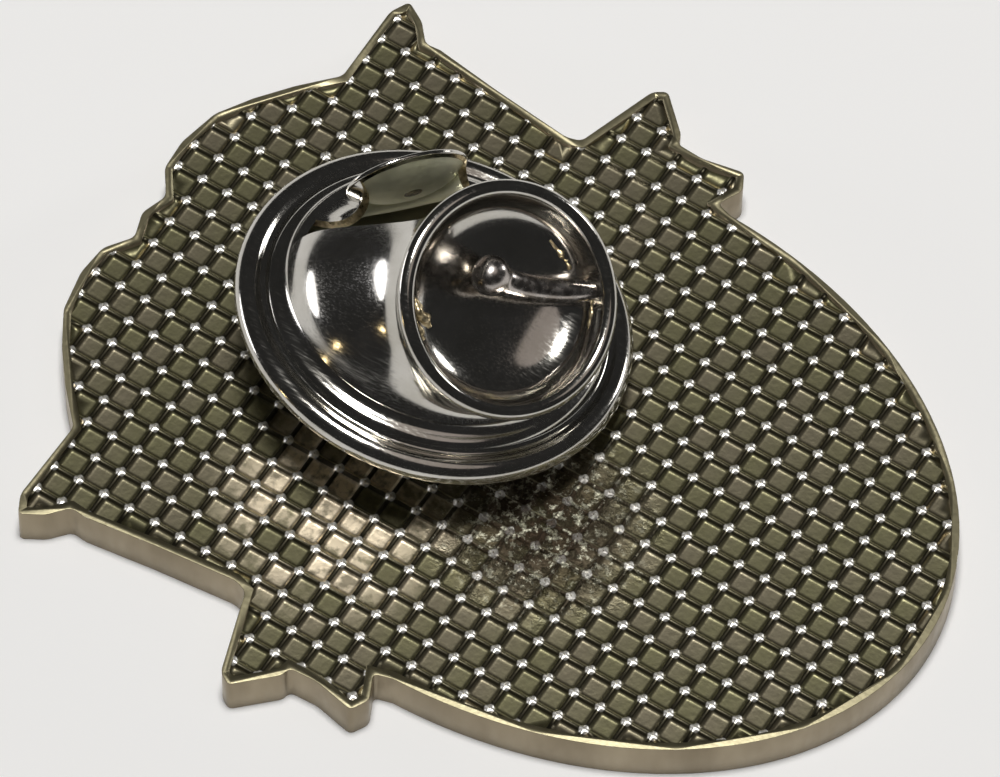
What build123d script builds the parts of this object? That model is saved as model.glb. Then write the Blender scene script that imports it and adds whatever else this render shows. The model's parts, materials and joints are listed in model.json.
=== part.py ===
from build123d import *
import os
from math import cos, radians, sin

# A die-struck soft-enamel cap badge, lying on its face, with a butterfly clutch on a soldered post.
# Millimetres. +X runs from the crown-like head to the round end, +Z is the way the back faces,
# z = 0 is the plane of the raised metal lines on the front.

# ---- driving dimensions -------------------------------------------------------------------------
plate_thick = 1.4           # front lines to back face
recess_depth = 0.40         # how deep the enamel cells are struck
enamel_low = 0.08           # soft enamel stays this much below the metal lines

body_center_x = 0.9         # the oval body is part of one ellipse
body_rx = 12.25
body_ry = 8.95

roundel_x = 4.6             # the round front field
roundel_r = 7.55
border_inner_r = 6.35
field_r = 6.0
star_r = 4.3
star_waist_r = 1.9
star_points = 8
cell_corner_r = 0.15

post_x = -3.6               # where the post stands on the back
post_y = 0.1
post_r = 0.5
post_neck_r = 0.40          # the groove that the spring's legs snap into
neck_half = 0.22
neck_taper = 0.10
post_top = 3.0              # above the clutch's rim plane
post_shoulder = 2.3
post_tip_r = 0.10
solder_r = 1.5
solder_waist_r = 0.95
solder_waist_h = 0.20
solder_top_r = 0.70
solder_h = 0.6

lean = 15.15                # the post was soldered crooked: lean from the back's normal
lean_toward = 57.0          # which way, from +X towards +Y
rim_rise = 2.0              # the clutch's rim centre above the back face
wing_turn = -34.55          # the wings' line, from +X towards +Y

rim_r = 5.33                # middle of the rolled rim
roll_r = 0.42
roll_bore_r = 0.14
lip_r = 4.85                # the roll's edge, turned in under the disc
disc_half = 0.11
disc_hole_r = 0.62
wall_top = 2.7
seat_top = 0.92             # the wall is this low below each wing
seat_half_width = 3.25

# The shell's sheet above its roll, as radius and height: groove, step ring and side wall, outside first.
shell_outside = [
    (5.10, 0.31), (4.98, 0.31), (4.86, 0.50), (4.66, 0.56), (4.40, 0.85), (4.20, 1.40), (4.10, 2.05),
]
shell_inside = [(3.82, 2.05), (3.92, 1.35), (4.14, 0.75), (4.52, 0.29), (4.70, 0.24), (4.86, roll_bore_r)]
wall_top_outer_r = 4.14
wall_top_inner_r = 3.86

sheet = 0.28
bead_r = 0.18               # rolled edge of a wing
near_dish_r = 3.1
near_dish_at = (2.265, 0.29, 3.6)
near_dish_tilt = 35.0
far_dish_r = 2.65
far_dish_at = (-3.3, -0.29, 3.25)
far_dish_tilt = 47.0
dish_depth = 0.9
dish_flank = 0.6            # share of the ring's radius where the dish starts to turn up
dish_flank_depth = 0.8      # and its depth there, as a share of the dish's
stem_low = 1.0              # each wing's stem: a strip of the wall's curve, from here up
stem_rise = 2.0
stem_outer_r = 4.28
stem_inner_r = 4.0
stem_half_width = 2.0
clear = 12.0                # larger than the whole clutch, for cuts

wire_r = 0.22
leg_offset = 0.86
leg_height = 0.56
bow_v = -2.9
leg_end_v = 2.2
leg_gap = 0.05
tail_r = 0.26
tail_knob_r = 0.40
tail_root = (0.08, -0.42)   # where a tail lies in its dish, down the slope and below the ring
tail_tip = (-0.70, -0.50)
tail_inset = 0.45           # from the ring to the start of the tail

os.makedirs("parts", exist_ok=True)


def finish(builder, name):
    """Label a finished piece and write it out."""
    builder.part.label = name
    export_step(builder.part, f"parts/{name}.step")


# ---- the outline of the badge -------------------------------------------------------------------
# Upper half, from the small bump on the head, round the lobe, past the two spikes and the ribbon end.
half_outline = [
    (-12.52, 0.81), (-13.08, 1.60), (-13.15, 2.60), (-12.88, 3.90), (-12.23, 4.95), (-11.45, 5.95),
    (-10.50, 6.97), (-10.54, 9.57), (-10.25, 10.15), (-9.57, 9.76), (-9.09, 9.19),
    (-8.61, 9.23), (-6.49, 8.94), (-3.99, 8.67), (-3.56, 8.80), (-2.73, 11.31), (-2.35, 11.56),
    (-1.23, 10.48), (-1.19, 10.20), (-0.33, 10.15), (0.92, 10.40), (1.21, 9.86), (0.85, 9.10),
    (body_center_x, body_ry),
]


def mirrored(points):
    """The same points on the other side of the badge's centre line."""
    return [(x, -y) for x, y in points]


with BuildSketch() as outline:
    with BuildLine():
        ThreePointArc((-12.52, -0.81), (-12.79, 0), (-12.52, 0.81))
        Polyline(*half_outline)
        Polyline(*mirrored(half_outline))
        EllipticalCenterArc((body_center_x, 0), body_rx, body_ry, start_angle=-90, arc_size=180)
    make_face()


# ---- the enamel cells of the front --------------------------------------------------------------
# A plain design: a round field with a star, a border round it, a head band, lobes and spikes.
star_outline = []
for k in range(2 * star_points):
    radius = star_r if k % 2 == 0 else star_waist_r
    angle = radians(180 * k / star_points)
    star_outline.append((roundel_x + radius * cos(angle), radius * sin(angle)))

lobe_outline = [
    (-11.85, 1.15), (-12.45, 2.10), (-12.25, 3.65), (-11.70, 4.60), (-10.35, 6.10),
    (-8.60, 6.60), (-7.50, 5.70), (-7.20, 3.40), (-7.20, 1.15),
]
head_spike_outline = [
    (-9.95, 7.90), (-10.00, 9.35), (-9.65, 9.15), (-9.20, 8.55), (-7.70, 8.40), (-7.55, 7.70),
]
ribbon_outline = [(-3.05, 8.95), (-2.45, 10.75), (-1.72, 10.10), (-1.60, 9.35), (-1.80, 8.95)]
band_outline = [(-6.60, -7.90), (-5.10, -7.90), (-4.15, 0), (-5.10, 7.90), (-6.60, 7.90), (-5.65, 0)]

with BuildSketch() as field_cell:
    with Locations((roundel_x, 0)):
        Circle(field_r)
    with BuildLine():
        Polyline(*star_outline, close=True)
    make_face(mode=Mode.SUBTRACT)

with BuildSketch() as border_cell:
    with Locations((roundel_x, 0)):
        Circle(roundel_r)
        Circle(border_inner_r, mode=Mode.SUBTRACT)


def polygon_cell(points):
    """One enamel cell with slightly rounded corners."""
    with BuildSketch() as cell:
        with BuildLine():
            Polyline(*points, close=True)
        make_face()
        fillet(cell.vertices(), cell_corner_r)
    return cell


cells = {
    "enamel_field": field_cell,
    "enamel_border": border_cell,
    "enamel_band": polygon_cell(band_outline),
    "enamel_lobe_left": polygon_cell(lobe_outline),
    "enamel_lobe_right": polygon_cell(mirrored(lobe_outline)),
    "enamel_spike_left": polygon_cell(head_spike_outline),
    "enamel_spike_right": polygon_cell(mirrored(head_spike_outline)),
    "enamel_ribbon_left": polygon_cell(ribbon_outline),
    "enamel_ribbon_right": polygon_cell(mirrored(ribbon_outline)),
}

with BuildPart() as badge_plate:
    with BuildSketch():
        add(outline.sketch)
    extrude(amount=plate_thick)
    for cell in cells.values():
        with BuildSketch():
            add(cell.sketch)
        extrude(amount=recess_depth, mode=Mode.SUBTRACT)
finish(badge_plate, "badge_plate")

for name, cell in cells.items():
    with BuildPart() as enamel:
        with BuildSketch(Plane.XY.offset(enamel_low)):
            add(cell.sketch)
        extrude(amount=recess_depth - enamel_low)
    finish(enamel, name)


# ---- the leaning line that the post and the clutch share ----------------------------------------
back = Plane.XY.offset(plate_thick)
lean_dir = Vector(
    sin(radians(lean)) * cos(radians(lean_toward)),
    sin(radians(lean)) * sin(radians(lean_toward)),
    cos(radians(lean)),
)
post_foot = Vector(post_x, post_y, plate_thick)
rim_center = post_foot + lean_dir * (rim_rise / lean_dir.Z)
wing_dir = Vector(cos(radians(wing_turn)), sin(radians(wing_turn)), 0)

# Clutch plane: x along the wings' line, y along the slit, z up the post.
clutch = Plane(origin=rim_center, x_dir=wing_dir, z_dir=lean_dir)
# Section plane for turned profiles: x is the radius, y is the height above the rim plane.
section = Plane(origin=rim_center, x_dir=clutch.x_dir, z_dir=-clutch.y_dir)
post_axis = Axis(rim_center, lean_dir)
foot_height = -rim_rise / lean_dir.Z

with BuildPart() as pin_post:
    with BuildSketch(section):
        with BuildLine():
            Polyline(
                (0, foot_height - post_r), (post_r, foot_height - post_r),
                (post_r, leg_height - neck_half - neck_taper), (post_neck_r, leg_height - neck_half),
                (post_neck_r, leg_height + neck_half), (post_r, leg_height + neck_half + neck_taper),
                (post_r, post_shoulder), (post_tip_r, post_top), (0, post_top),
                close=True,
            )
        make_face()
    revolve(axis=post_axis)
    split(bisect_by=back, keep=Keep.TOP)
finish(pin_post, "pin_post")

with BuildPart() as solder_fillet:
    with BuildSketch(Plane(origin=post_foot, x_dir=(1, 0, 0), z_dir=(0, -1, 0))):
        with BuildLine():
            Line((0, 0), (solder_r, 0))
            ThreePointArc((solder_r, 0), (solder_waist_r, solder_waist_h), (solder_top_r, solder_h))
            Polyline((solder_top_r, solder_h), (0, solder_h), (0, 0))
        make_face()
    revolve(axis=Axis(post_foot, (0, 0, 1)))
    with BuildSketch(clutch.offset(foot_height - post_r)):
        Circle(post_r)
    extrude(amount=post_top, mode=Mode.SUBTRACT)
finish(solder_fillet, "solder_fillet")


# ---- the clutch ---------------------------------------------------------------------------------
with BuildPart() as clutch_base:
    with BuildSketch(section):
        with BuildLine():
            Polyline((rim_r - disc_half, -disc_half), (disc_hole_r, -disc_half), (disc_hole_r, disc_half),
                     (rim_r - disc_half, disc_half))
            ThreePointArc((rim_r - disc_half, disc_half), (rim_r, 0), (rim_r - disc_half, -disc_half))
        make_face()
    revolve(axis=post_axis)
finish(clutch_base, "clutch_base")

# The shell's sheet: from the lip under the disc, round the rolled rim, over the groove and the step
# ring, and up the side wall.
with BuildPart() as clutch_shell:
    with BuildSketch(section):
        with BuildLine():
            Line((lip_r, -roll_r), (rim_r, -roll_r))
            ThreePointArc((rim_r, -roll_r), (rim_r + roll_r, 0), (rim_r, roll_r))
            Polyline((rim_r, roll_r), *shell_outside, (wall_top_outer_r, wall_top),
                     (wall_top_inner_r, wall_top), *shell_inside, (rim_r, roll_bore_r))
            ThreePointArc((rim_r, roll_bore_r), (rim_r + roll_bore_r, 0), (rim_r, -roll_bore_r))
            Polyline((rim_r, -roll_bore_r), (lip_r, -roll_bore_r), (lip_r, -roll_r))
        make_face()
    revolve(axis=post_axis)
    with BuildSketch(clutch.offset(seat_top)):
        Rectangle(4 * rim_r, 2 * seat_half_width)
    extrude(amount=wall_top, mode=Mode.SUBTRACT)
finish(clutch_shell, "clutch_shell")


def dish_plane(at, tilt, side):
    """Plane of a wing's rim ring: z looks out of the dish, x runs down its slope."""
    u, v, w = at
    origin = clutch.from_local_coords(Vector(u, v, w))
    slope = clutch.x_dir * (side * cos(radians(tilt))) - lean_dir * sin(radians(tilt))
    normal = clutch.x_dir * (side * sin(radians(tilt))) + lean_dir * cos(radians(tilt))
    return Plane(origin=origin, x_dir=slope, z_dir=normal)


def wing(at, tilt, ring_r, side):
    """One dished finger wing with a rolled edge, on a short stem above the shell's wall."""
    ring = dish_plane(at, tilt, side)
    profile = Plane(origin=ring.origin, x_dir=ring.x_dir, z_dir=-ring.y_dir)
    axis = Axis(ring.origin, ring.z_dir)
    with BuildPart() as piece:
        with BuildSketch(clutch.offset(stem_low)):
            Circle(stem_outer_r)
            Circle(stem_inner_r, mode=Mode.SUBTRACT)
            with Locations((-side * clear / 2, 0)):
                Rectangle(clear, clear, mode=Mode.SUBTRACT)
            with Locations((0, stem_half_width + clear / 2), (0, -stem_half_width - clear / 2)):
                Rectangle(clear, clear, mode=Mode.SUBTRACT)
        extrude(amount=stem_rise)
        with BuildSketch(profile):
            with BuildLine():
                Line((0, clear), (0, -dish_depth))
                Spline((0, -dish_depth), (dish_flank * ring_r, -dish_flank_depth * dish_depth),
                       (ring_r, 0), tangents=((1, 0), (0.2, 1)))
                Polyline((ring_r, 0), (2 * ring_r, 0), (2 * ring_r, clear), (0, clear))
            make_face()
        revolve(axis=axis, mode=Mode.SUBTRACT)
        with BuildSketch(profile):
            with BuildLine():
                Line((0, -dish_depth - sheet), (0, -dish_depth))
                Spline((0, -dish_depth), (dish_flank * ring_r, -dish_flank_depth * dish_depth),
                       (ring_r - bead_r, 0), tangents=((1, 0), (0.2, 1)))
                ThreePointArc((ring_r - bead_r, 0), (ring_r, bead_r), (ring_r + bead_r, 0))
                Spline((ring_r + bead_r, 0),
                       (1.1 * dish_flank * ring_r, -dish_flank_depth * dish_depth - sheet),
                       (0, -dish_depth - sheet), tangents=((-0.2, -1), (-1, 0)))
            make_face()
        revolve(axis=axis)
    return piece


wing_near = wing(near_dish_at, near_dish_tilt, near_dish_r, 1)
finish(wing_near, "wing_near")
wing_far = wing(far_dish_at, far_dish_tilt, far_dish_r, -1)
finish(wing_far, "wing_far")


def spring_tail(at, tilt, side, reach):
    """The spring wire's end, which comes out in the wing's dish and ends in a rounded knob."""
    ring = dish_plane(at, tilt, side)
    root = ring.from_local_coords(Vector(tail_root[0], side * reach, tail_root[1]))
    tip = ring.from_local_coords(Vector(tail_tip[0], 0, tail_tip[1]))
    with BuildPart() as piece:
        with BuildSketch(Plane(origin=root, z_dir=tip - root)):
            Circle(tail_r)
        extrude(amount=(tip - root).length)
        with Locations(tip):
            Sphere(tail_knob_r)
    return piece


tail_near = spring_tail(near_dish_at, near_dish_tilt, 1, near_dish_r - tail_inset)
finish(tail_near, "spring_tail_near")
tail_far = spring_tail(far_dish_at, far_dish_tilt, -1, far_dish_r - tail_inset)
finish(tail_far, "spring_tail_far")

# The grip spring is one steel wire bent like a hairpin, drawn as its bow and its two legs.
leg_plane = clutch.offset(leg_height)
bow_center = leg_plane.from_local_coords(Vector(0, bow_v, 0))
with BuildPart() as spring_bow:
    with BuildSketch(Plane(origin=bow_center, x_dir=clutch.x_dir, z_dir=-clutch.y_dir)):
        with Locations((leg_offset, 0)):
            Circle(wire_r)
    revolve(axis=Axis(bow_center, lean_dir), revolution_arc=-180)
finish(spring_bow, "spring_bow")

for name, side in (("spring_leg_near", 1), ("spring_leg_far", -1)):
    start = leg_plane.from_local_coords(Vector(side * leg_offset, bow_v + leg_gap, 0))
    with BuildPart() as leg:
        with BuildSketch(Plane(origin=start, x_dir=clutch.x_dir, z_dir=clutch.y_dir)):
            Circle(wire_r)
        extrude(amount=leg_end_v - bow_v)
    finish(leg, name)
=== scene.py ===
import json
from math import atan2, cos, pi, radians, sin

import bpy
from mathutils import Matrix, Vector
from mathutils.noise import noise


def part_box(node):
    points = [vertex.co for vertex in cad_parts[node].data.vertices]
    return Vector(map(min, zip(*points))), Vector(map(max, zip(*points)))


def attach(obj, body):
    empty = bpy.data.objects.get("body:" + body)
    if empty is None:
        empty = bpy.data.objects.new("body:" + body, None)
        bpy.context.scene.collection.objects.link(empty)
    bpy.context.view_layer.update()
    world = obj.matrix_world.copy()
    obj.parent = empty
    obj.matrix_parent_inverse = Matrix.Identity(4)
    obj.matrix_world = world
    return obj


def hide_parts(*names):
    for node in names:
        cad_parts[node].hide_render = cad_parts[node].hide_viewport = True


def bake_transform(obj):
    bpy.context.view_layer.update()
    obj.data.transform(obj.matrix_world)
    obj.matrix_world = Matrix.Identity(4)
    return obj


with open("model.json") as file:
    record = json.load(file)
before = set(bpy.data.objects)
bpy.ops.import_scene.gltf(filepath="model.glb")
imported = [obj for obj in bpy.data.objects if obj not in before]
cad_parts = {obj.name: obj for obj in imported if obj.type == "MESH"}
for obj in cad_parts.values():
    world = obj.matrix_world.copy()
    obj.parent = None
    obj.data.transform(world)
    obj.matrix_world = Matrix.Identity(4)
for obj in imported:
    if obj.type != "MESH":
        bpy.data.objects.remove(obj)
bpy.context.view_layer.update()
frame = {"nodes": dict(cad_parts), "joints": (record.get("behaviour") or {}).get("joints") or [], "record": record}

# A struck metal cap badge lying on its enamelled face. Its waffled back is up, and a butterfly clutch
# sits on the post that is soldered to it. Lengths below are in millimetres and are turned into metres
# where a piece is made.

# ---- Badge plate ---------------------------------------------------------------------------------
# One stamped blank of pale brass. The edge is trimmed smooth, the front is struck with cells for the
# enamel, and the back is struck with a waffle so that both faces fill the die evenly.
MM = 0.001
PLATE_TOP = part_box("badge_plate")[1][2] / MM
EDGE_ROUND = 0.07
CORNER_ROUND = 0.14
OVAL_CENTER_X = 0.9
OVAL_RX = 12.25
OVAL_RY = 8.95
OVAL_STEPS = 72
EDGE_HALF = [
    (-12.79, 0.0), (-12.52, 0.81), (-13.08, 1.60), (-13.15, 2.60), (-12.88, 3.90), (-12.23, 4.95),
    (-11.45, 5.95), (-10.50, 6.97), (-10.54, 9.57), (-10.25, 10.15), (-9.57, 9.76), (-9.09, 9.19),
    (-8.61, 9.23), (-6.49, 8.94), (-3.99, 8.67), (-3.56, 8.80), (-2.73, 11.31), (-2.35, 11.56),
    (-1.23, 10.48), (-1.19, 10.20), (-0.33, 10.15), (0.92, 10.40), (1.21, 9.86), (0.85, 9.10),
]
WAFFLE_RIM = 0.22           # plain border left round the waffle
WAFFLE_PITCH = 0.8475
WAFFLE_X = 4.1163           # one crossing of two ridges
WAFFLE_Y = 1.8935
WAFFLE_DEPTH = 0.11
RIDGE_DROP = 0.045          # the ridges end this far below the plain border
PEAK_RISE = 0.044           # and rise again where two of them cross
# Steps across half a pitch: place, share of the depth there, and share of a peak's rise.
WAFFLE_STEPS = [
    (0.0, 0.0, 1.0), (0.045, 0.14, 0.96), (0.085, 0.56, 0.85), (0.13, 0.93, 0.58), (0.18, 1.0, 0.15),
    (0.22, 1.0, 0.0),
]


def use(obj):
    """Make obj the only selected and the active object."""
    bpy.ops.object.select_all(action="DESELECT")
    obj.select_set(True)
    bpy.context.view_layer.objects.active = obj


def new_mesh(name, points, faces):
    """A new object from points in millimetres."""
    mesh = bpy.data.meshes.new(name)
    mesh.from_pydata([Vector(p) * MM for p in points], [], faces)
    mesh.update()
    obj = bpy.data.objects.new(name, mesh)
    bpy.context.scene.collection.objects.link(obj)
    use(obj)
    return obj


def apply_all(obj):
    """Apply the piece's modifiers in their order."""
    use(obj)
    for name in [m.name for m in obj.modifiers]:
        bpy.ops.object.modifier_apply(modifier=name)


def boolean(obj, tool, operation, solver="EXACT"):
    """Cut or join obj with tool, and throw the tool away."""
    use(obj)
    cut = obj.modifiers.new("cut", "BOOLEAN")
    cut.operation = operation
    cut.solver = solver
    cut.object = tool
    bpy.ops.object.modifier_apply(modifier="cut")
    bpy.data.objects.remove(tool)


def badge_outline():
    """The closed outline: the upper half, the oval end as a formula, and the upper half mirrored."""
    last_x, last_y = EDGE_HALF[-1]
    start = atan2(last_y / OVAL_RY, (last_x - OVAL_CENTER_X) / OVAL_RX)
    oval = []
    for k in range(1, OVAL_STEPS):
        angle = start * (1 - 2 * k / OVAL_STEPS)
        oval.append((OVAL_CENTER_X + OVAL_RX * cos(angle), OVAL_RY * sin(angle)))
    return EDGE_HALF + oval + [(x, -y) for x, y in reversed(EDGE_HALF[1:])]


def drawn_in(outline, distance):
    """The outline moved inwards, each corner along the line that halves it."""
    moved = []
    for k, point in enumerate(outline):
        here = Vector(point)
        before = (here - Vector(outline[k - 1])).normalized()
        after = (Vector(outline[(k + 1) % len(outline)]) - here).normalized()
        # The outline runs clockwise, so inwards is to the right of each side.
        normals = Vector((before.y, -before.x)) + Vector((after.y, -after.x))
        normals.normalize()
        # The limit keeps a corner at a sharp tip from running too far in.
        reach = distance / max(normals.dot(Vector((after.y, -after.x))), 0.35)
        moved.append(tuple(here + normals * reach))
    return moved


def prism(name, outline, low, high, corner_round):
    """An upright block on a closed outline, with its sharp corners rounded."""
    obj = new_mesh(name, [(x, y, low) for x, y in outline], [range(len(outline))])
    bpy.ops.object.mode_set(mode="EDIT")
    bpy.ops.mesh.select_all(action="DESELECT")
    bpy.ops.object.mode_set(mode="OBJECT")
    count = len(outline)
    for k, vertex in enumerate(obj.data.vertices):
        before = Vector(outline[k]) - Vector(outline[k - 1])
        after = Vector(outline[(k + 1) % count]) - Vector(outline[k])
        vertex.select = before.angle(after) > radians(14)
    bpy.ops.object.mode_set(mode="EDIT")
    bpy.ops.mesh.bevel(offset=corner_round * MM, affect="VERTICES", segments=3, clamp_overlap=True)
    bpy.ops.mesh.select_all(action="SELECT")
    bpy.ops.mesh.extrude_region_move(TRANSFORM_OT_translate={"value": (0, 0, (high - low) * MM)})
    bpy.ops.mesh.select_all(action="SELECT")
    bpy.ops.mesh.normals_make_consistent(inside=False)
    bpy.ops.object.mode_set(mode="OBJECT")
    return obj


plate = prism("plate_body", badge_outline(), 0.0, PLATE_TOP, CORNER_ROUND)
# Both rims are rounded a little, as tumbling leaves them.
use(plate)
bevel = plate.modifiers.new("rim", "BEVEL")
bevel.width = EDGE_ROUND * MM
bevel.segments = 3
bevel.limit_method = "ANGLE"
bevel.angle_limit = radians(60)
bevel.use_clamp_overlap = True
apply_all(plate)

# The waffle's punch: one cell, repeated both ways, closed above and trimmed to the field inside the
# border.
lines = WAFFLE_STEPS + [(WAFFLE_PITCH - u, d, p) for u, d, p in reversed(WAFFLE_STEPS)]
side = len(lines) - 1
low_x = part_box("badge_plate")[0][0] / MM
low_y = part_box("badge_plate")[0][1] / MM
first_x = WAFFLE_X - WAFFLE_PITCH * (int((WAFFLE_X - low_x) / WAFFLE_PITCH) + 1)
first_y = WAFFLE_Y - WAFFLE_PITCH * (int((WAFFLE_Y - low_y) / WAFFLE_PITCH) + 1)
cells_x = int((-2 * low_x) / WAFFLE_PITCH) + 2
cells_y = int((-2 * low_y) / WAFFLE_PITCH) + 2
bpy.ops.object.select_all(action="DESELECT")
bpy.ops.mesh.primitive_grid_add(x_subdivisions=side, y_subdivisions=side, size=WAFFLE_PITCH * MM,
                                location=(0, 0, 0))
punch = bpy.context.object
punch.name = "waffle_punch"
ridge_z = PLATE_TOP - RIDGE_DROP
for vertex in punch.data.vertices:
    i = round((vertex.co.x / MM / WAFFLE_PITCH + 0.5) * side)
    j = round((vertex.co.y / MM / WAFFLE_PITCH + 0.5) * side)
    (across, fall_x, peak_x), (along, fall_y, peak_y) = lines[i], lines[j]
    level = ridge_z - WAFFLE_DEPTH * min(fall_x, fall_y) + PEAK_RISE * peak_x * peak_y
    vertex.co = Vector((first_x + across, first_y + along, level)) * MM
use(punch)
for axis, count in ((0, cells_x), (1, cells_y)):
    copies = punch.modifiers.new("repeat", "ARRAY")
    copies.count = count
    copies.use_relative_offset = False
    copies.use_constant_offset = True
    copies.constant_offset_displace = [WAFFLE_PITCH * MM if k == axis else 0 for k in range(3)]
    copies.use_merge_vertices = True
    copies.merge_threshold = 0.01 * MM
    bpy.ops.object.modifier_apply(modifier=copies.name)
bpy.ops.object.mode_set(mode="EDIT")
bpy.ops.mesh.select_all(action="SELECT")
bpy.ops.mesh.remove_doubles(threshold=0.005 * MM)
bpy.ops.mesh.select_all(action="SELECT")
bpy.ops.mesh.extrude_region_move(TRANSFORM_OT_translate={"value": (0, 0, 1.0 * MM)})
bpy.ops.transform.resize(value=(1, 1, 0), center_override=(0, 0, (PLATE_TOP + 1.0) * MM))
bpy.ops.mesh.select_all(action="SELECT")
bpy.ops.mesh.normals_make_consistent(inside=False)
bpy.ops.object.mode_set(mode="OBJECT")
field = prism("waffle_field", drawn_in(badge_outline(), WAFFLE_RIM), PLATE_TOP - 0.5, PLATE_TOP + 0.5, 0.05)
boolean(punch, field, "INTERSECT", "MANIFOLD")
boolean(plate, punch, "DIFFERENCE", "MANIFOLD")

# The cells struck in the front: each is as deep as its enamel reaches, and open below.
for part in frame["record"]["subparts"]:
    if part["material_slot"].startswith("enamel"):
        floor_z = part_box(part["node"])[0][2]
        cutter = frame["nodes"][part["node"]].copy()
        cutter.data = cutter.data.copy()
        cutter.parent = None
        bpy.context.scene.collection.objects.link(cutter)
        use(cutter)
        bpy.ops.object.mode_set(mode="EDIT")
        bpy.ops.mesh.select_all(action="SELECT")
        bpy.ops.mesh.remove_doubles(threshold=0.002 * MM)
        bpy.ops.object.mode_set(mode="OBJECT")
        for vertex in cutter.data.vertices:
            if vertex.co.z < floor_z + 0.01 * MM:
                vertex.co.z = -0.2 * MM
        boolean(plate, cutter, "DIFFERENCE", "EXACT")

# Old pale brass: olive in the pockets, with painted shade and painted highlights on the ridges, a painted cream
# reflection of the clutch's lit underside on cells near it, and brown where soldering flux burnt on.


def material(name, **sockets):
    """A metal or paint whose plain values sit on the shader itself."""
    made = bpy.data.materials.new(name)
    made.use_nodes = True
    shader = made.node_tree.nodes["Principled BSDF"]
    for socket, value in sockets.items():
        shader.inputs[socket.replace("_", " ")].default_value = value
    return made


def node(tree, kind, settings=None, **links):
    """Add a node. Links are input name: value or another node's output socket."""
    made = tree.nodes.new("ShaderNode" + kind)
    for key, value in (settings or {}).items():
        setattr(made, key, value)
    for key, value in links.items():
        socket = made.inputs[int(key[1:])] if key[1:].isdigit() else made.inputs[key.replace("_", " ")]
        if isinstance(value, bpy.types.NodeSocket):
            tree.links.new(value, socket)
        else:
            socket.default_value = value
    return made


def ramp(tree, value, *stops):
    """A color ramp from (place, color) stops."""
    made = tree.nodes.new("ShaderNodeValToRGB")
    tree.links.new(value, made.inputs["Fac"])
    points = made.color_ramp.elements
    while len(points) < len(stops):
        points.new(0.5)
    for point, (place, color) in zip(points, stops):
        point.position = place
        point.color = (*color, 1) if isinstance(color, tuple) else (color, color, color, 1)
    return made.outputs["Color"]


def mix(tree, fac, first, second):
    """Mix two colors by a mask."""
    made = tree.nodes.new("ShaderNodeMix")
    made.data_type = "RGBA"
    for name, value in (("Factor", fac), ("A", first), ("B", second)):
        socket = made.inputs[name]
        if isinstance(value, bpy.types.NodeSocket):
            tree.links.new(value, socket)
        else:
            socket.default_value = value if isinstance(value, float) else (*value, 1)
    return made.outputs["Result"]


def noise_of(tree, place, scale, detail=3.0, rough=0.55):
    """Noise with its scale in features per millimetre."""
    texture = node(tree, "TexNoise", Vector=place, Scale=scale / MM, Detail=detail, Roughness=rough)
    return texture.outputs["Fac"]


def spot(tree, place, center, radius, soft):
    """A round mask, 1 inside the radius and 0 outside, blurred by soft."""
    away = node(tree, "VectorMath", {"operation": "DISTANCE"}, _0=place, _1=Vector(center) * MM)
    return node(tree, "MapRange", {"interpolation_type": "SMOOTHSTEP"}, Value=away.outputs["Value"],
                From_Min=(radius + soft) * MM, From_Max=(radius - soft) * MM).outputs["Result"]


def band(tree, value, low, high):
    """A soft mask, 0 at one value and 1 at the other."""
    return node(tree, "MapRange", {"interpolation_type": "SMOOTHSTEP"}, Value=value,
                From_Min=low, From_Max=high).outputs["Result"]


def times(tree, first, second):
    """The product of two masks."""
    return node(tree, "Math", {"operation": "MULTIPLY"}, _0=first, _1=second).outputs[0]


# Wear that every metal and paint here shares: a tone that wanders between two colors, and a sheen that
# wanders between two roughnesses. Its two noises have their own places, sizes and detail.
WEAR_INPUTS = (
    ("Tone Place", "Vector"), ("Tone Scale", "Float"), ("Tone Detail", "Float"), ("Tone From", "Float"),
    ("Tone To", "Float"), ("Dark", "Color"), ("Light", "Color"), ("Sheen Place", "Vector"),
    ("Sheen Scale", "Float"), ("Sheen Detail", "Float"), ("Sheen From", "Float"), ("Sheen To", "Float"),
    ("Smooth", "Float"), ("Rough", "Float"),
)
wear_group = bpy.data.node_groups.new("wear", "ShaderNodeTree")
for name, kind in WEAR_INPUTS:
    wear_group.interface.new_socket(name=name, in_out="INPUT", socket_type="NodeSocket" + kind)
wear_group.interface.new_socket(name="Color", in_out="OUTPUT", socket_type="NodeSocketColor")
wear_group.interface.new_socket(name="Roughness", in_out="OUTPUT", socket_type="NodeSocketFloat")
given = wear_group.nodes.new("NodeGroupInput").outputs
made = wear_group.nodes.new("NodeGroupOutput").inputs
tone = node(wear_group, "TexNoise", Vector=given["Tone Place"], Scale=given["Tone Scale"],
            Detail=given["Tone Detail"], Roughness=0.55).outputs["Fac"]
tone = node(wear_group, "MapRange", Value=tone, From_Min=given["Tone From"], From_Max=given["Tone To"])
wear_group.links.new(mix(wear_group, tone.outputs["Result"], given["Dark"], given["Light"]), made["Color"])
sheen = node(wear_group, "TexNoise", Vector=given["Sheen Place"], Scale=given["Sheen Scale"],
             Detail=given["Sheen Detail"], Roughness=0.55).outputs["Fac"]
sheen = node(wear_group, "MapRange", Value=sheen, From_Min=given["Sheen From"], From_Max=given["Sheen To"],
             To_Min=given["Smooth"], To_Max=given["Rough"])
wear_group.links.new(sheen.outputs["Result"], made["Roughness"])


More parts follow.
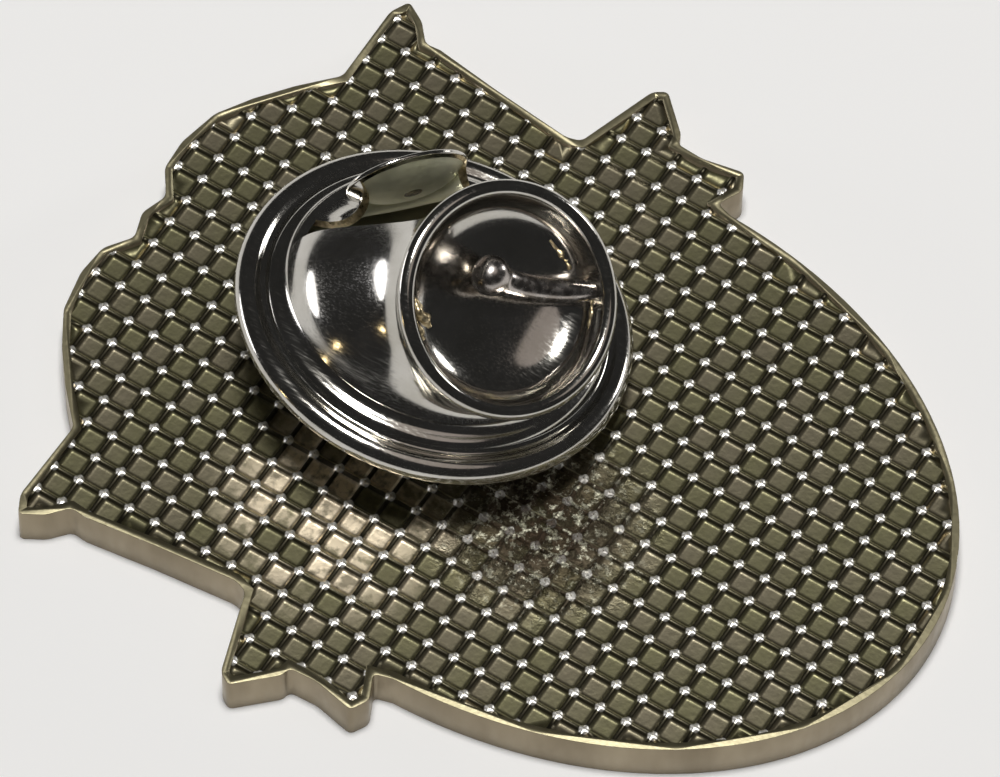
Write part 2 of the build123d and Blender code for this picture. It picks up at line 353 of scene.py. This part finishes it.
def wear(tree, tone, colors, sheen=None, shine=None):
    """Place the wear in a material. Tone and sheen are each (place, features per mm, detail, from, to)."""
    shader = tree.nodes["Principled BSDF"]
    used = tree.nodes.new("ShaderNodeGroup")
    used.node_tree = wear_group
    for title, (place, scale, detail, low, high) in (("Tone", tone), ("Sheen", sheen or tone)):
        tree.links.new(place, used.inputs[title + " Place"])
        used.inputs[title + " Scale"].default_value = scale / MM
        used.inputs[title + " Detail"].default_value = detail
        used.inputs[title + " From"].default_value = low
        used.inputs[title + " To"].default_value = high
    used.inputs["Dark"].default_value = (*colors[0], 1)
    used.inputs["Light"].default_value = (*colors[1], 1)
    tree.links.new(used.outputs["Color"], shader.inputs["Base Color"])
    if shine:
        used.inputs["Smooth"].default_value = shine[0]
        used.inputs["Rough"].default_value = shine[1]
        tree.links.new(used.outputs["Roughness"], shader.inputs["Roughness"])


OLIVE = (0.172, 0.162, 0.090)
BROWN = (0.195, 0.172, 0.118)
RIM = (0.30, 0.27, 0.17)
PAINTED_SHADE = (0.045, 0.040, 0.026)
FLANK_HIGHLIGHT = (0.62, 0.58, 0.36)
HIGHLIGHT_WHITE = (1.0, 0.98, 0.92)
FLECK = (0.85, 0.84, 0.66)
REFLECTED_CREAM = (1.0, 0.86, 0.64)
FLUX = (0.075, 0.052, 0.034)
SOOT = (0.06, 0.055, 0.035)
REFLECTION_MIDDLE = (-2.9, -5.3, PLATE_TOP)
STAIN_MIDDLE = (2.2, -2.5, PLATE_TOP)

back_brass = material("back_brass", Metallic=0.92)
tree = back_brass.node_tree
shader = tree.nodes["Principled BSDF"]
place = node(tree, "TexCoord").outputs["Object"]
split = node(tree, "SeparateXYZ", Vector=place)
# The waffle lies below the plain border, which keeps the metal's own tone.
border = node(tree, "Math", {"operation": "LESS_THAN"}, _0=split.outputs["Z"], _1=(PLATE_TOP - 0.0025) * MM)
border = border.outputs[0]
# A number for each cell, so that every pocket has its own tone.
cell = node(tree, "VectorMath", {"operation": "SUBTRACT"}, _0=place,
            _1=Vector((WAFFLE_X, WAFFLE_Y, 0)) * MM)
cell = node(tree, "VectorMath", {"operation": "DIVIDE"}, _0=cell.outputs[0],
            _1=(WAFFLE_PITCH * MM, WAFFLE_PITCH * MM, 1.0))
inside = node(tree, "VectorMath", {"operation": "FRACTION"}, _0=cell.outputs[0]).outputs[0]
inside_x = node(tree, "SeparateXYZ", Vector=inside).outputs["X"]
# The way from the nearest crossing of two ridges, along each of them.
offset = node(tree, "VectorMath", {"operation": "ADD"}, _0=cell.outputs[0], _1=(0.5, 0.5, 0.0)).outputs[0]
offset = node(tree, "VectorMath", {"operation": "FRACTION"}, _0=offset).outputs[0]
offset = node(tree, "VectorMath", {"operation": "SUBTRACT"}, _0=offset, _1=(0.5, 0.5, 0.0)).outputs[0]
offset = node(tree, "VectorMath", {"operation": "MULTIPLY"}, _0=offset,
              _1=(WAFFLE_PITCH, WAFFLE_PITCH, 0.0))
from_x = node(tree, "SeparateXYZ", Vector=offset.outputs[0]).outputs["X"]
from_y = node(tree, "SeparateXYZ", Vector=offset.outputs[0]).outputs["Y"]
off_ridge = node(tree, "Math", {"operation": "ABSOLUTE"}, _0=from_x).outputs[0]
# Painted shade and highlight: ridges along y are painted dark all over. Those along x are painted dark on one
# flank and painted bright on the other.
shade_x = band(tree, off_ridge, 0.085, 0.050)
shade_y = times(tree, band(tree, from_y, -0.105, -0.080), band(tree, from_y, 0.025, -0.005))
flank_highlight = times(tree, band(tree, from_y, 0.020, 0.045), band(tree, from_y, 0.115, 0.085))
from_peak = node(tree, "VectorMath", {"operation": "LENGTH"}, _0=offset.outputs[0]).outputs["Value"]
peak = times(tree, band(tree, from_peak, 0.165, 0.125), border)
cell = node(tree, "VectorMath", {"operation": "FLOOR"}, _0=cell.outputs[0])
own = node(tree, "TexWhiteNoise", {"noise_dimensions": "2D"}, Vector=cell.outputs[0]).outputs["Value"]
fine = noise_of(tree, place, 7.0)
# Painted shade: inside every pocket the tone also shifts from brown to olive along x. The number per cell gives
# each pocket its own tone.
tone = node(tree, "Math", {"operation": "MULTIPLY_ADD"}, _0=inside_x, _1=-0.55, _2=own).outputs[0]
pocket = mix(tree, ramp(tree, tone, (0.0, 0.0), (0.7, 1.0)), OLIVE, BROWN)
pocket = mix(tree, ramp(tree, fine, (0.35, 0.0), (0.75, 0.5)), pocket, SOOT)
# Painted reflection: cells near the clutch are painted cream, cell by cell, standing in for the clutch's lit
# underside mirrored in them.
reflection_spot = spot(tree, place, REFLECTION_MIDDLE, 2.6, 1.5)
reflection_cell = ramp(tree, own, (0.28, 0.0), (0.40, 1.0))
reflection_fine = ramp(tree, noise_of(tree, place, 2.4), (0.46, 1.0), (0.62, 0.25))
reflection = times(tree, times(tree, reflection_spot, reflection_cell), reflection_fine)
pocket = mix(tree, reflection, pocket, REFLECTED_CREAM)
# Painted highlight: the lit flank of the ridges along x is painted bright.
color = mix(tree, times(tree, flank_highlight, 0.8), pocket, FLANK_HIGHLIGHT)
# Painted shade: the ridges along y and the dark flank of those along x are painted near-black.
ridge_shade = node(tree, "Math", {"operation": "MAXIMUM"}, _0=shade_x, _1=times(tree, shade_y, 0.85)).outputs[0]
color = mix(tree, times(tree, ridge_shade, border), color, PAINTED_SHADE)
# Painted highlight: the ridge crossings are painted near-white so that they show as bright dots.
color = mix(tree, peak, color, HIGHLIGHT_WHITE)
color = mix(tree, border, RIM, color)
# Burnt flux: a dark, lumpy crust with bright flecks of metal in it.
stain_spot = spot(tree, place, STAIN_MIDDLE, 2.0, 1.9)
residue = noise_of(tree, place, 1.5, 5.0, 0.7)
stain = times(tree, stain_spot, ramp(tree, residue, (0.36, 0.0), (0.50, 0.95)))
color = mix(tree, stain, color, FLUX)
glints = noise_of(tree, place, 4.2, 4.0, 0.7)
flecks = times(tree, stain_spot, ramp(tree, glints, (0.53, 0.0), (0.62, 0.8)))
color = mix(tree, flecks, color, FLECK)
tree.links.new(color, shader.inputs["Base Color"])
rough = node(tree, "MapRange", Value=fine, To_Min=0.30, To_Max=0.50).outputs["Result"]
rough = node(tree, "Math", {"operation": "ADD"}, _0=rough, _1=times(tree, stain, 0.30)).outputs[0]
rough = node(tree, "Math", {"operation": "SUBTRACT"}, _0=rough, _1=times(tree, flecks, 0.20)).outputs[0]
tree.links.new(rough, shader.inputs["Roughness"])
lumps = node(tree, "Bump", Strength=0.9, Distance=0.25 * MM, Height=times(tree, residue, stain))
bumps = node(tree, "Bump", Strength=0.35, Distance=0.02 * MM, Height=noise_of(tree, place, 5.0, 4.0, 0.6),
             Normal=lumps.outputs["Normal"])
tree.links.new(bumps.outputs["Normal"], shader.inputs["Normal"])

side_brass = material("side_brass", Metallic=0.9)
tree = side_brass.node_tree
shader = tree.nodes["Principled BSDF"]
place = node(tree, "TexCoord").outputs["Object"]
stretched = node(tree, "Mapping", Vector=place, Scale=(1.0, 1.0, 0.35)).outputs["Vector"]
wear(tree, (stretched, 0.5, 3.0, 0.35, 0.70), ((0.25, 0.205, 0.135), (0.37, 0.31, 0.215)),
     (stretched, 3.0, 3.0, 0.3, 0.7), (0.30, 0.45))
bumps = node(tree, "Bump", Strength=0.3, Distance=0.02 * MM, Height=noise_of(tree, stretched, 2.0))
tree.links.new(bumps.outputs["Normal"], shader.inputs["Normal"])

# The boolean cuts leave an empty first slot. The back finish goes on all that faces up near the top.
plate.data.materials.clear()
plate.data.materials.append(back_brass)
plate.data.materials.append(side_brass)
for face in plate.data.polygons:
    middle = face.center.z / MM
    face.material_index = 0 if middle > PLATE_TOP - 0.25 and face.normal.z > 0.35 else 1
use(plate)
bpy.ops.object.shade_smooth_by_angle(angle=radians(50))
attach(plate, "badge")
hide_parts("badge_plate")

# ---- Clutch: rolled shell ring ---------------------------------------------------------------------
# The butterfly clutch is drawn from thin brass sheet and nickel plated bright. Its foot is rolled over
# the base disc into a bead, with a groove and a second ring inside it, where the wall begins.
turn_joint = next(j for j in frame["joints"] if j["name"] == "clutch_turn")
squeeze_joint = next(j for j in frame["joints"] if j["name"] == "wing_a_squeeze")
RIM_CENTER = Vector(turn_joint["pos_m"]) / MM
POST_UP = Vector(turn_joint["axis"]).normalized()
SLIT = -Vector(squeeze_joint["axis"]).normalized()
ACROSS = SLIT.cross(POST_UP).normalized()


def on_clutch(u, v, w):
    """A place on the clutch: u towards the near wing, v along the slit, w up the post."""
    return RIM_CENTER + ACROSS * u + SLIT * v + POST_UP * w


nickel = material("nickel", Metallic=1.0)
tree = nickel.node_tree
shader = tree.nodes["Principled BSDF"]
place = node(tree, "TexCoord").outputs["Object"]
scratched = node(tree, "Mapping", Vector=place, Rotation=(0.3, 0.2, 0.9), Scale=(1.0, 14.0, 14.0))
wear(tree, (place, 0.9, 3.0, 0.3, 0.7), ((0.50, 0.48, 0.43), (0.62, 0.60, 0.56)),
     (scratched.outputs["Vector"], 1.6, 2.0, 0.45, 0.72), (0.10, 0.22))
bumps = node(tree, "Bump", Strength=0.12, Distance=0.01 * MM, Height=noise_of(tree, place, 1.2, 3.0))
tree.links.new(bumps.outputs["Normal"], shader.inputs["Normal"])

# Sheared edges, where the brass under the plating shows.
bare_brass = material("bare_brass", Metallic=1.0)
tree = bare_brass.node_tree
place = node(tree, "TexCoord").outputs["Object"]
wear(tree, (place, 6.0, 3.0, 0.35, 0.6), ((0.42, 0.33, 0.18), (0.88, 0.74, 0.48)),
     (place, 9.0, 3.0, 0.3, 0.7), (0.25, 0.5))

# The inside of the sheet is only plated, not buffed.
satin_nickel = material("satin_nickel", Metallic=1.0)
tree = satin_nickel.node_tree
place = node(tree, "TexCoord").outputs["Object"]
wear(tree, (place, 0.8, 3.0, 0.3, 0.7), ((0.76, 0.77, 0.60), (0.92, 0.92, 0.74)),
     (place, 6.0, 3.0, 0.3, 0.7), (0.46, 0.58))

ROLL_R = 5.33               # radius to the middle of the rolled bead
ROLL_TUBE = 0.42
ROLL_BORE = 0.14            # the hollow that the base disc's edge sits in
RING_STEPS = 144
bead = [(ROLL_R + ROLL_TUBE * sin(pi * k / 14), -ROLL_TUBE * cos(pi * k / 14)) for k in range(15)]
bore = [(ROLL_R + ROLL_BORE * sin(pi * k / 6), ROLL_BORE * cos(pi * k / 6)) for k in range(7)]
ring_profile = [(4.85, -0.42)] + bead + [
    (5.20, 0.38), (5.12, 0.31), (5.03, 0.28), (4.95, 0.31), (4.90, 0.40), (4.85, 0.49), (4.77, 0.55),
    (4.67, 0.58), (4.57, 0.62), (4.48, 0.70), (4.42, 0.82), (4.17, 0.78), (4.24, 0.60), (4.38, 0.44),
    (4.56, 0.34), (4.74, 0.27), (4.90, 0.17),
] + bore + [(4.85, -0.14)]


def turned(name, profile, steps, axis_point, axis_dir, out_dir):
    """A closed turned piece from a closed (radius, height) profile, by spinning it round its axis."""
    points = [axis_point + out_dir * r + axis_dir * h for r, h in profile]
    count = len(points)
    obj = new_mesh(name, points, [])
    obj.data.edges.add(count)
    for k, edge in enumerate(obj.data.edges):
        edge.vertices = (k, (k + 1) % count)
    use(obj)
    bpy.ops.object.mode_set(mode="EDIT")
    bpy.ops.mesh.select_all(action="SELECT")
    bpy.ops.mesh.spin(steps=steps, angle=2 * pi, center=axis_point * MM, axis=axis_dir)
    bpy.ops.mesh.select_all(action="SELECT")
    bpy.ops.mesh.remove_doubles(threshold=0.002 * MM)
    bpy.ops.mesh.normals_make_consistent(inside=False)
    bpy.ops.object.mode_set(mode="OBJECT")
    return obj


shell_ring = turned("shell_ring", ring_profile, RING_STEPS, RIM_CENTER, POST_UP, ACROSS)
shell_ring.data.materials.append(nickel)
use(shell_ring)
bpy.ops.object.shade_smooth_by_angle(angle=radians(60))
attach(shell_ring, "clutch")
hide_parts("clutch_shell")

# ---- Clutch: the two finger wings ------------------------------------------------------------------
# The shell is slit into two halves. Each half's wall sweeps up from the ring and flares into a dished
# finger wing with a rolled edge. Squeezing the wings together bends the walls and opens the spring.
SHEET = 0.24
SKIN_FOOT = (4.50, 0.64)    # radius and height where a wall leaves the ring
NEAR_WAIST = 4.14           # a wall's radius where it is narrowest
FAR_WAIST = 3.25
WALL_STEPS = 26
WALL_COLUMNS = 88
DISH_COLUMNS = 112
DISH_STEPS = 14
STEP_SPREAD = 0.7           # below 1, steps crowd towards the rim
DISH_POWER = 2.7            # how squarely the dish meets its rim
BEAD_STEPS = 12
BEAD_TURN = 1.35 * pi       # how far the edge is rolled round
NEAR_MIDDLE = Vector((2.265, 0.29, 3.6))
NEAR_TILT = radians(35)
FAR_MIDDLE = Vector((-3.0, -0.28, 2.65))
FAR_TILT = radians(80)


def wall_line(foot_angle, crest, out, below, pull, waist):
    """One line of a wall, from the ring up to the wing's crest, as a Bezier curve.

    It draws in to the waist soon after the foot, and flares out again by pull below the crest.
    """
    direction = Vector((cos(foot_angle), sin(foot_angle), 0))
    radius, low = SKIN_FOOT
    rise = crest.z - low
    controls = [
        direction * radius + Vector((0, 0, low)),
        direction * (waist + 0.12) + Vector((0, 0, low + min(0.42, 0.3 * rise))),
        direction * waist + Vector((0, 0, low + min(1.15, 0.5 * rise))),
        direction * waist + Vector((0, 0, low + min(1.15, 0.5 * rise))),
        crest - below * (pull * rise) - out * 0.30,
        crest,
    ]
    line = []
    for k in range(WALL_STEPS + 1):
        t = k / WALL_STEPS
        points = list(controls)
        while len(points) > 1:
            points = [a.lerp(b, t) for a, b in zip(points, points[1:])]
        line.append(on_clutch(*points[0]))
    return line


def finger_wing(name, center, tilt, side, reach, half_width, depth, bead_r, wall_half, crest_half, pull,
                bowl, waist):
    """One half of the shell: its wall and its dished wing, as one smooth sheet.

    The wing is an oval of the given reach and half width round its center, dished by depth, with a bead
    of radius bead_r. Its wall covers wall_half each way at the foot and crest_half each way at the wing.
    """
    middle = Vector(center)
    slope = Vector((side * cos(tilt), 0, -sin(tilt)))
    normal = Vector((side * sin(tilt), 0, cos(tilt)))
    wide = Vector((0, 1, 0))

    def rim(angle, share=1.0, grow=0.0):
        """A place on the wing's outline, or on a smaller or grown copy of it."""
        along = slope * (cos(angle) * (reach * share + grow))
        return middle + along + wide * (sin(angle) * (half_width * share + grow))

    points = []
    faces = []
    for k in range(WALL_COLUMNS + 1):
        part = 2 * k / WALL_COLUMNS - 1
        foot = wall_half * part * side + (0 if side > 0 else pi)
        turn = crest_half * part
        out = (rim(turn) - middle).normalized()
        crest = rim(turn, 1.0, 0.62 * bead_r) - normal * (0.55 * bead_r)
        points += wall_line(foot, crest, out, normal, pull, waist)
    row = WALL_STEPS + 1
    for k in range(WALL_COLUMNS):
        for j in range(WALL_STEPS):
            a = k * row + j
            faces.append((a, a + row, a + row + 1, a + 1) if side > 0 else (a, a + 1, a + row + 1, a + row))
    wall = new_mesh(name + "_wall", points, faces)
    wall.data.materials.append(nickel)
    wall.data.materials.append(bare_brass)
    wall.data.materials.append(satin_nickel)
    thick = wall.modifiers.new("sheet", "SOLIDIFY")
    thick.thickness = SHEET * MM
    thick.offset = -1
    thick.use_quality_normals = True
    thick.material_offset = 2
    thick.material_offset_rim = 1
    apply_all(wall)

    # The dish, its rolled edge and its underside, closed round the wing.
    profile = []
    for k in range(1, DISH_STEPS + 1):
        share = (k / DISH_STEPS) ** STEP_SPREAD
        inner = share * (1 - bead_r / reach)
        profile.append((inner, 0.0, -depth * (1 - share ** DISH_POWER) ** bowl))
    for k in range(BEAD_STEPS + 1):
        turn = pi - BEAD_TURN * k / BEAD_STEPS
        profile.append((1.0, bead_r * cos(turn), bead_r * sin(turn)))
    for k in range(DISH_STEPS - 1, 0, -1):
        share = (k / DISH_STEPS) ** STEP_SPREAD
        under = depth + SHEET - 0.8 * bead_r
        profile.append((share, 0.0, -0.8 * bead_r - under * (1 - share ** DISH_POWER) ** bowl))
    points = []
    for k in range(DISH_COLUMNS):
        angle = 2 * pi * k / DISH_COLUMNS
        for share, grow, height in profile:
            points.append(on_clutch(*(rim(angle, share, grow) + normal * height)))
    row = len(profile)
    faces = []
    for k in range(DISH_COLUMNS):
        for j in range(row - 1):
            a = k * row + j
            b = ((k + 1) % DISH_COLUMNS) * row + j
            faces.append((a, b, b + 1, a + 1))
    top = len(points)
    points.append(on_clutch(*(middle - normal * depth)))
    points.append(on_clutch(*(middle - normal * (depth + SHEET))))
    for k in range(DISH_COLUMNS):
        a = k * row
        b = ((k + 1) % DISH_COLUMNS) * row
        faces.append((top, b, a))
        faces.append((top + 1, a + row - 1, b + row - 1))
    # The dish has the wall's three finishes in the same order, so that joining keeps them.
    dish = new_mesh(name, points, faces)
    dish.data.materials.append(nickel)
    dish.data.materials.append(bare_brass)
    dish.data.materials.append(satin_nickel)
    for face in dish.data.polygons:
        step = face.index % (row - 1)
        if face.index < DISH_COLUMNS * (row - 1) and step >= row - (DISH_STEPS - 1):
            face.material_index = 2
    bpy.ops.object.mode_set(mode="EDIT")
    bpy.ops.mesh.select_all(action="SELECT")
    bpy.ops.mesh.normals_make_consistent(inside=False)
    bpy.ops.object.mode_set(mode="OBJECT")
    wall.select_set(True)
    bpy.context.view_layer.objects.active = dish
    bpy.ops.object.join()
    bpy.ops.object.shade_smooth_by_angle(angle=radians(55))
    return dish


near_half = finger_wing("near_half", NEAR_MIDDLE, NEAR_TILT, side=1, reach=3.10, half_width=3.10,
                        depth=1.25, bead_r=0.24, wall_half=radians(128), crest_half=radians(146),
                        pull=0.30, bowl=0.37, waist=NEAR_WAIST)
far_half = finger_wing("far_half", FAR_MIDDLE, FAR_TILT, side=-1, reach=1.30, half_width=1.78,
                       depth=0.30, bead_r=0.08, wall_half=radians(36), crest_half=radians(112),
                       pull=0.22, bowl=1.0, waist=FAR_WAIST)
for half, node_name, body in ((near_half, "wing_near", "wing_a"), (far_half, "wing_far", "wing_b")):
    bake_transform(half)
    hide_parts(node_name)

# ---- Spring, post and solder ---------------------------------------------------------------------
# One bent steel wire grips the post inside the shell, and its ends come out in the wings' dishes. The
# post is a turned pin, soft soldered to the back by hand, a little crooked.
wire_steel = material("wire_steel", Metallic=1.0)
tree = wire_steel.node_tree
place = node(tree, "TexCoord").outputs["Object"]
wear(tree, (place, 2.5, 3.0, 0.3, 0.7), ((0.34, 0.30, 0.27), (0.60, 0.56, 0.53)),
     (place, 5.0, 3.0, 0.3, 0.7), (0.16, 0.34))

post_plate = material("post_plate", Metallic=1.0)
tree = post_plate.node_tree
place = node(tree, "TexCoord").outputs["Object"]
wear(tree, (place, 1.8, 3.0, 0.3, 0.7), ((0.42, 0.38, 0.29), (0.66, 0.62, 0.52)),
     (place, 4.0, 3.0, 0.3, 0.7), (0.20, 0.40))

solder_gray = material("solder_gray", Metallic=0.85)
tree = solder_gray.node_tree
shader = tree.nodes["Principled BSDF"]
place = node(tree, "TexCoord").outputs["Object"]
wear(tree, (place, 2.2, 5.0, 0.35, 0.7), ((0.10, 0.085, 0.06), (0.36, 0.34, 0.29)),
     (place, 3.0, 3.0, 0.3, 0.7), (0.40, 0.65))
bumps = node(tree, "Bump", Strength=0.6, Distance=0.05 * MM, Height=noise_of(tree, place, 2.6, 5.0))
tree.links.new(bumps.outputs["Normal"], shader.inputs["Normal"])


def finish_node(name, finish):
    """Give a CAD piece its finish."""
    obj = frame["nodes"][name]
    obj.data.materials.clear()
    obj.data.materials.append(finish)


for name in ("spring_bow", "spring_leg_near", "spring_leg_far"):
    finish_node(name, wire_steel)


def rod(name, places, radii, finish):
    """A round wire through places in millimetres, with its own radius at each."""
    curve = bpy.data.curves.new(name, "CURVE")
    curve.dimensions = "3D"
    curve.bevel_depth = MM
    curve.bevel_resolution = 6
    curve.resolution_u = 8
    curve.use_fill_caps = True
    spline = curve.splines.new("NURBS")
    spline.points.add(len(places) - 1)
    for point, place, radius in zip(spline.points, places, radii):
        point.co = (*(place * MM), 1)
        point.radius = radius
    spline.order_u = 3
    spline.use_endpoint_u = True
    obj = bpy.data.objects.new(name, curve)
    bpy.context.scene.collection.objects.link(obj)
    use(obj)
    bpy.ops.object.convert(target="MESH")
    obj = bpy.context.object
    obj.data.materials.clear()
    obj.data.materials.append(finish)
    bpy.ops.object.shade_smooth_by_angle(angle=radians(60))
    return obj


def in_dish(down, wide, out):
    """A place in the near wing's dish: down its slope, across it, and out of it."""
    slope = Vector((cos(NEAR_TILT), 0, -sin(NEAR_TILT)))
    normal = Vector((sin(NEAR_TILT), 0, cos(NEAR_TILT)))
    return on_clutch(*(NEAR_MIDDLE + slope * down + Vector((0, wide, 0)) + normal * out))


# The near end of the spring: out of the dish's wall, across it, and upset into a knob.
wire_end = rod("wire_end_near", [
    in_dish(0.25, 2.95, -0.42), in_dish(0.18, 2.2, -0.45), in_dish(-0.12, 1.1, -0.50),
    in_dish(-0.45, 0.32, -0.52), in_dish(-0.58, 0.10, -0.52), in_dish(-0.74, -0.16, -0.50),
    in_dish(-0.90, -0.40, -0.48), in_dish(-0.99, -0.54, -0.48), in_dish(-1.01, -0.58, -0.48),
], (0.28, 0.35, 0.36, 0.38, 0.52, 0.60, 0.52, 0.30, 0.02), wire_steel)
# The far end lies along the hollow of the far wing and ends in a smaller knob.
far_end = rod("wire_end_far", [
    on_clutch(*(FAR_MIDDLE + Vector(step))) for step in
    ((0.12, 0.0, -0.70), (-0.10, 0.0, -0.45), (-0.12, 0.0, 0.05), (-0.08, 0.0, 0.20), (-0.05, 0.0, 0.34),
     (-0.04, 0.0, 0.42), (-0.04, 0.0, 0.44))
], (0.14, 0.20, 0.20, 0.28, 0.28, 0.16, 0.02), wire_steel)
# Sheared lips of the slots that the wire comes through, bare brass and rough.
BURR_HEIGHT = 0.10
BURRS_PER_MM = 4.0
slot_lips = [
    rod("slot_lip_low", [in_dish(0.30, 2.78, -0.36), in_dish(0.85, 2.68, -0.40),
                         in_dish(1.35, 2.46, -0.44)], (0.05, 0.10, 0.04), bare_brass),
    rod("slot_lip_high", [in_dish(-1.35, 2.02, -0.86), in_dish(-0.95, 2.28, -0.84),
                          in_dish(-0.45, 2.44, -0.82)], (0.04, 0.08, 0.04), bare_brass),
    rod("burr_long", [in_dish(-0.55, -2.66, -0.30), in_dish(-0.15, -2.62, -0.28),
                      in_dish(0.10, -2.40, -0.40), in_dish(0.32, -2.28, -0.46)],
        (0.05, 0.16, 0.20, 0.04), bare_brass),
    rod("burr_short", [in_dish(0.10, -2.72, -0.30), in_dish(0.38, -2.60, -0.42),
                       in_dish(0.62, -2.52, -0.50)], (0.03, 0.14, 0.05), bare_brass),
]
for lip in slot_lips:
    rough_up = lip.modifiers.new("rough", "SUBSURF")
    rough_up.levels = 1
    rough_up.render_levels = 1
    apply_all(lip)
    for vertex in lip.data.vertices:
        vertex.co += vertex.normal * (BURR_HEIGHT * MM * noise(vertex.co / MM * BURRS_PER_MM))
    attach(lip, "wing_a")
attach(wire_end, "wing_a")
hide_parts("spring_tail_near")
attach(far_end, "wing_b")
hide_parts("spring_tail_far")
finish_node("pin_post", post_plate)
finish_node("solder_fillet", solder_gray)
finish_node("clutch_base", nickel)

# ---- Enamel ------------------------------------------------------------------------------------
# Baked enamel paint fills the struck cells of the front, a little below the metal lines round it.
ENAMELS = {
    "enamel_blue": ((0.010, 0.035, 0.190), (0.018, 0.060, 0.260)),
    "enamel_cream": ((0.74, 0.69, 0.57), (0.82, 0.78, 0.67)),
    "enamel_red": ((0.28, 0.010, 0.014), (0.40, 0.022, 0.022)),
}
paints = {}
for name, (deep, light) in ENAMELS.items():
    paint = material(name, Coat_Weight=0.6, Coat_Roughness=0.06, Roughness=0.22)
    tree = paint.node_tree
    shader = tree.nodes["Principled BSDF"]
    place = node(tree, "TexCoord").outputs["Object"]
    wear(tree, (place, 1.1, 4.0, 0.3, 0.7), (deep, light))
    bumps = node(tree, "Bump", Strength=0.25, Distance=0.03 * MM, Height=noise_of(tree, place, 0.9, 1.0))
    tree.links.new(bumps.outputs["Normal"], shader.inputs["Normal"])
    paints[name] = paint
for part in frame["record"]["subparts"]:
    if part["material_slot"] in paints:
        finish_node(part["node"], paints[part["material_slot"]])

# ---- Camera, floor and light ---------------------------------------------------------------------
# The badge lies on a plain pale board in a dim room. A soft lamp hangs above it, and smaller ones stand
# at its sides for the bright metal to mirror.
bpy.ops.object.select_all(action="DESELECT")
bpy.ops.mesh.primitive_plane_add(size=1.2)
floor = bpy.context.object
floor.name = "floor"
paper = material("paper", Base_Color=(0.93, 0.93, 0.93, 1), Roughness=0.9)
floor.data.materials.append(paper)

world = bpy.data.worlds.new("room")
bpy.context.scene.world = world
world.use_nodes = True
gloom = world.node_tree.nodes["Background"].inputs
gloom["Color"].default_value = (0.05, 0.05, 0.05, 1)
gloom["Strength"].default_value = 0.55

# Places in metres from here on.
CENTER = Vector((-0.001, 0.0, 0.002))
SIGHT_RIGHT = Vector((0.84564, 0.53360, 0.01278))
SIGHT_UP = Vector((-0.46301, 0.72143, 0.51494))
SIGHT_BACK = SIGHT_RIGHT.cross(SIGHT_UP)
CAMERA_PLACE = Vector((0.065896, -0.110815, 0.217668))


def from_sight(right, up, back):
    """A place given to the right of, above and towards the camera from the badge."""
    return CENTER + SIGHT_RIGHT * right + SIGHT_UP * up + SIGHT_BACK * back


def lamp(name, place, width, height, power, tone=(1, 1, 1)):
    """A soft oval lamp turned to the badge."""
    light = bpy.data.lights.new(name, "AREA")
    light.shape = "ELLIPSE"
    light.size = width
    light.size_y = height
    light.energy = power
    light.color = tone
    stand = bpy.data.objects.new(name, light)
    bpy.context.scene.collection.objects.link(stand)
    stand.location = place
    stand.rotation_euler = (CENTER - Vector(place)).to_track_quat("-Z", "Y").to_euler()


lamp("top", (0.0, 0.0, 0.5), 0.13, 0.13, 2.0, (1.0, 0.99, 0.97))
lamp("window", from_sight(-0.372, 0.125, -0.020), 0.20, 0.08, 0.17, (0.96, 0.96, 1.0))
lamp("warm", from_sight(-0.37, -0.085, 0.11), 0.02, 0.05, 0.02, (1.0, 0.78, 0.42))
lamp("wall", (0.19, 0.05, 0.45), 0.30, 0.26, 0.07, (1.0, 0.88, 0.82))
lamp("right", from_sight(0.45, 0.25, -0.05), 0.10, 0.10, 0.30)

camera_data = bpy.data.cameras.new("camera")
camera = bpy.data.objects.new("camera", camera_data)
bpy.context.scene.collection.objects.link(camera)
turn = Matrix((SIGHT_RIGHT, SIGHT_UP, SIGHT_BACK)).transposed().to_4x4()
turn.translation = CAMERA_PLACE
camera.matrix_world = turn
camera_data.lens = 323.1
camera_data.sensor_width = 36
camera_data.clip_start = 0.01
camera_data.clip_end = 5
bpy.context.scene.camera = camera
bpy.context.scene.view_settings.view_transform = "Standard"
